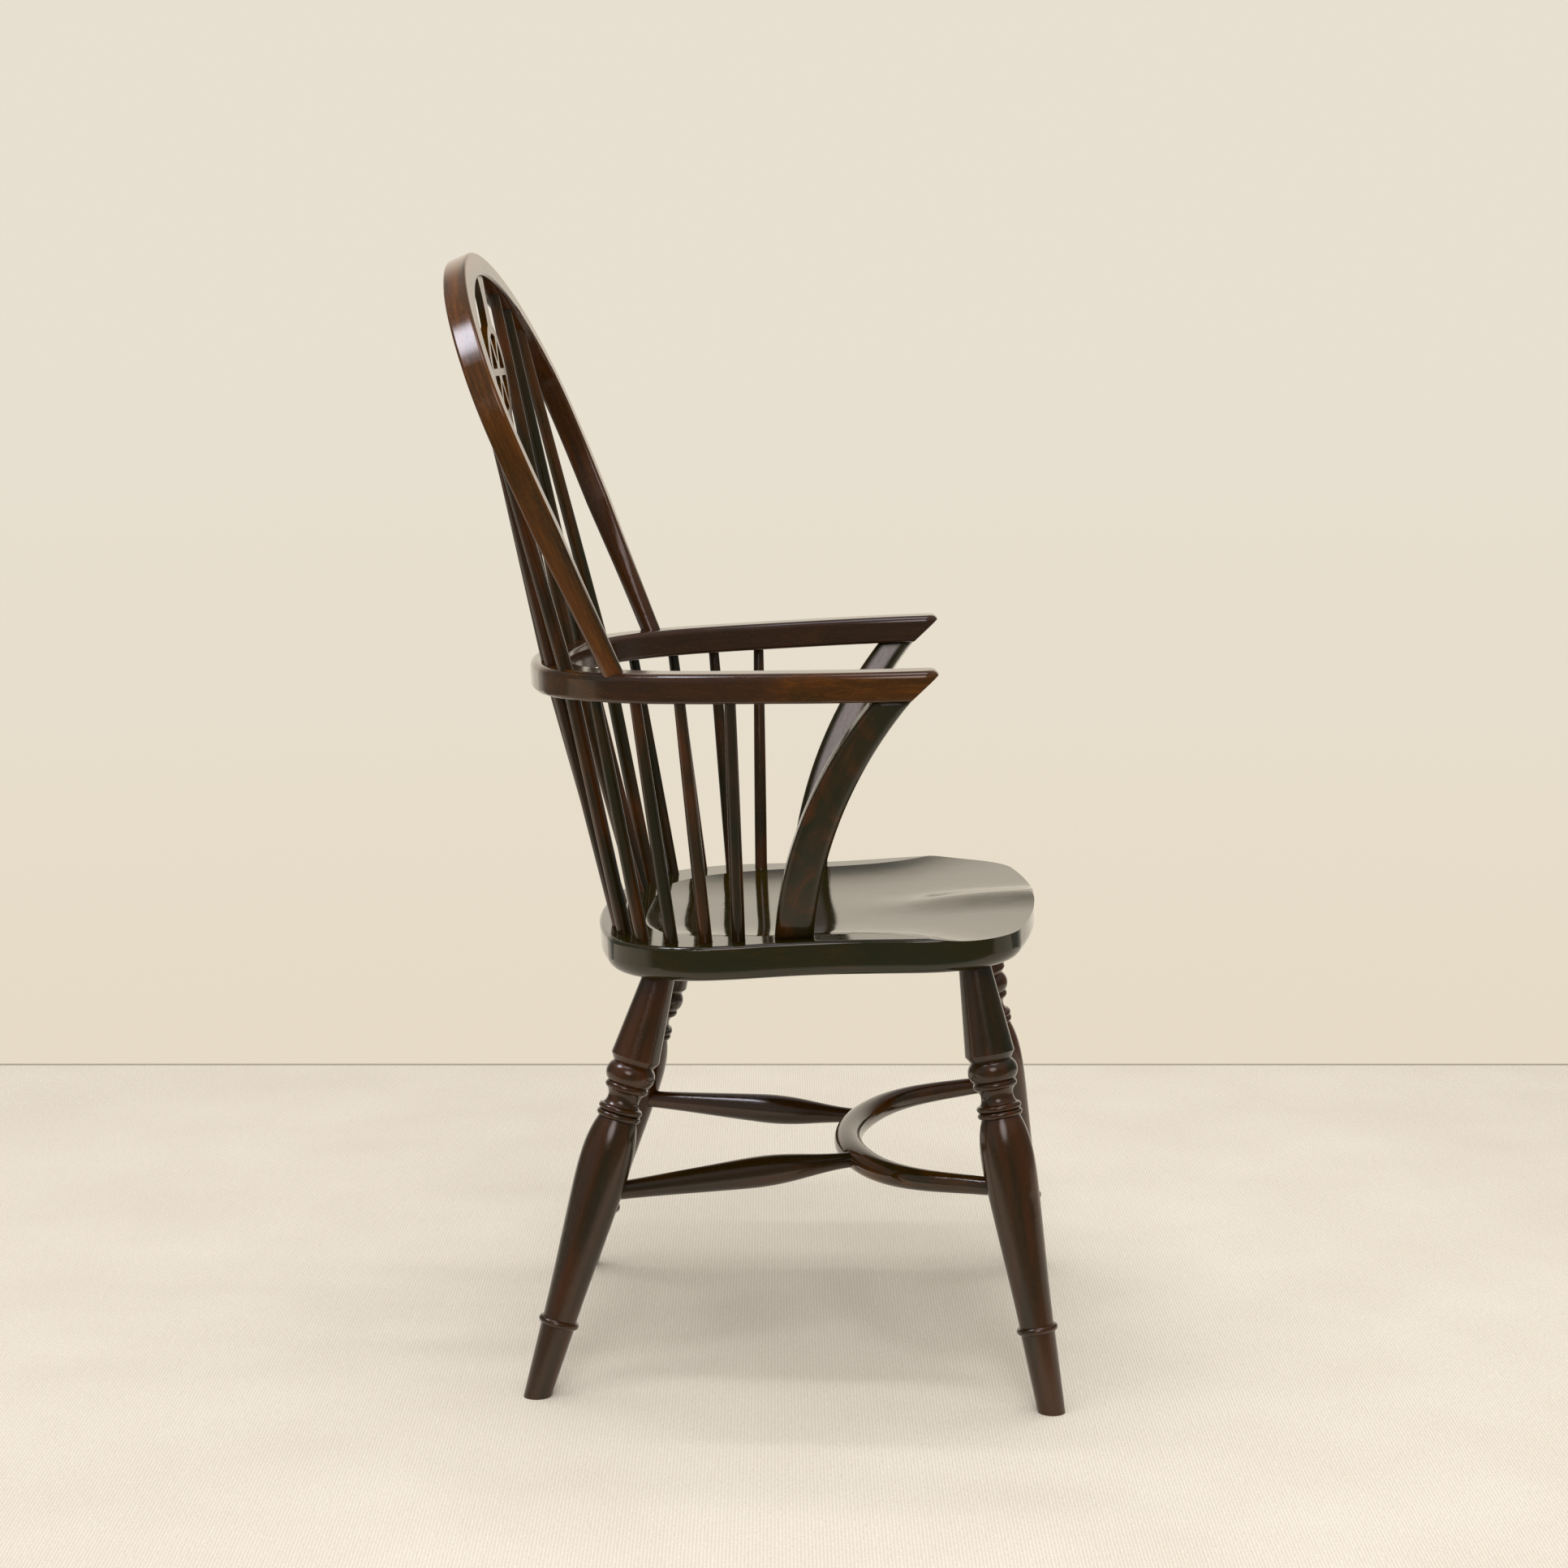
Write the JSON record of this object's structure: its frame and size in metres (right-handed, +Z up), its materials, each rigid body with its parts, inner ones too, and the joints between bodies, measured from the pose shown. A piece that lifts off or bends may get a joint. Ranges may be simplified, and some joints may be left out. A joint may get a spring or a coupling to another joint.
{
  "type": "wheelback armchair",
  "caption": "Dark stained wooden armchair with a bent hoop back, slender spindles, a pierced wheel splat, a bent arm bow, a dished seat, splayed turned legs and a bowed stretcher.",
  "frame": {"origin": "on the floor, under the middle of the chair's bounding box", "axes": "+Z up, the chair faces -Y, +X towards the sitter's left"},
  "size_m": [0.5974, 0.6118, 1.1038],
  "materials": {
    "seat_wood": "dark mahogany stain under gloss lacquer",
    "bent_wood": "dark mahogany stain under gloss lacquer, open grain",
    "sawn_wood": "dark mahogany stain under gloss lacquer",
    "turned_wood": "dark mahogany stain under gloss lacquer, reddish on the swells"
  },
  "bodies": {
    "root": {"seat": "seat_wood", "arm_bow": "bent_wood", "back_hoop": "bent_wood", "bowed_stretcher": "bent_wood", "wheel_splat": "sawn_wood", "lower_splat": "sawn_wood", "arm_post_left": "sawn_wood", "arm_post_right": "sawn_wood", "long_spindle_left_inner": "turned_wood", "long_spindle_left_middle": "turned_wood", "long_spindle_left_outer": "turned_wood", "long_spindle_right_inner": "turned_wood", "long_spindle_right_middle": "turned_wood", "long_spindle_right_outer": "turned_wood", "short_spindle_left_first": "turned_wood", "short_spindle_left_second": "turned_wood", "short_spindle_left_third": "turned_wood", "short_spindle_left_fourth": "turned_wood", "short_spindle_right_first": "turned_wood", "short_spindle_right_second": "turned_wood", "short_spindle_right_third": "turned_wood", "short_spindle_right_fourth": "turned_wood", "front_leg_left": "turned_wood", "front_leg_right": "turned_wood", "back_leg_left": "turned_wood", "back_leg_right": "turned_wood", "side_stretcher_left": "turned_wood", "side_stretcher_right": "turned_wood"}
  },
  "joints": []
}
